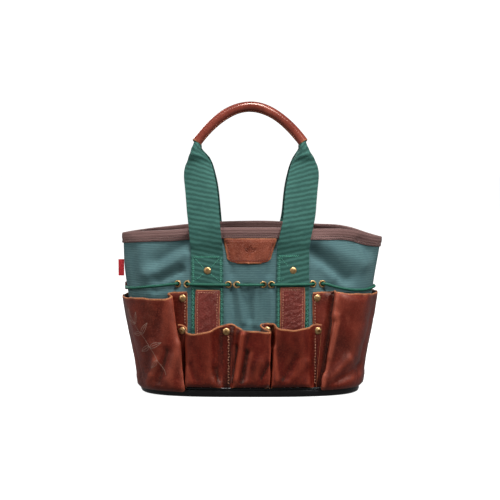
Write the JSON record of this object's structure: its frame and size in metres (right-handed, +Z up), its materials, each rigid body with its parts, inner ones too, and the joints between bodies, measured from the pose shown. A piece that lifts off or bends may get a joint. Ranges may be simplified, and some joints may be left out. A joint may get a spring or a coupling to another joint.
{
  "type": "garden tool bag",
  "caption": "Open canvas tote with leather pockets round the outside, a moulded base and two webbing handles with leather grips.",
  "frame": {"origin": "centre of the base's underside, on the ground", "axes": "+Z up, the front with the badge faces -Y, +X to the right seen from the front"},
  "size_m": [0.3323, 0.1764, 0.3636],
  "materials": {
    "base_vinyl": "glossy black",
    "board": "matte",
    "lining": "dark woven",
    "canvas": "green duck canvas",
    "binding": "woven tape",
    "webbing": "ribbed webbing",
    "leather": "waxed, semi-gloss",
    "badge_leather": "embossed, semi-gloss",
    "grip_leather": "worn, semi-gloss",
    "tag": "woven label",
    "elastic": "braided sleeve",
    "brass": "aged"
  },
  "bodies": {
    "bag": {"base_tray": "base_vinyl", "base_welt": "base_vinyl", "base_board": "board", "floor_lining": "lining", "front_canvas": "canvas", "back_canvas": "canvas", "front_lining": "lining", "back_lining": "lining", "rim_binding": "binding", "front_badge": "badge_leather", "side_tag": "tag", "cord_keeper": "leather", "elastic_cord": "elastic", "front_eyelets": "brass", "back_eyelets": "brass", "front_left_strap": "webbing", "front_right_strap": "webbing", "back_left_strap": "webbing", "back_right_strap": "webbing", "front_left_strap_patch": "leather", "front_right_strap_patch": "leather", "back_left_strap_patch": "leather", "back_right_strap_patch": "leather", "left_end_pocket": "leather", "right_end_pocket": "leather", "front_pocket_row": "leather", "back_pocket_row": "leather", "front_strap_rivets": "brass", "back_strap_rivets": "brass", "front_pocket_rivets": "brass", "back_pocket_rivets": "brass"},
    "front_handle": {"front_handle_webbing": "webbing", "front_grip_sleeve": "grip_leather"},
    "back_handle": {"back_handle_webbing": "webbing", "back_grip_sleeve": "grip_leather"}
  },
  "joints": [
    {"name": "front_handle_fold", "type": "hinge", "parent": "bag", "child": "front_handle", "pos_m": [0, -0.0675, 0.174], "axis": [1, 0, 0], "range_deg": [0, 150]},
    {"name": "back_handle_fold", "type": "hinge", "parent": "bag", "child": "back_handle", "pos_m": [0, 0.0675, 0.174], "axis": [-1, 0, 0], "range_deg": [0, 150]}
  ]
}
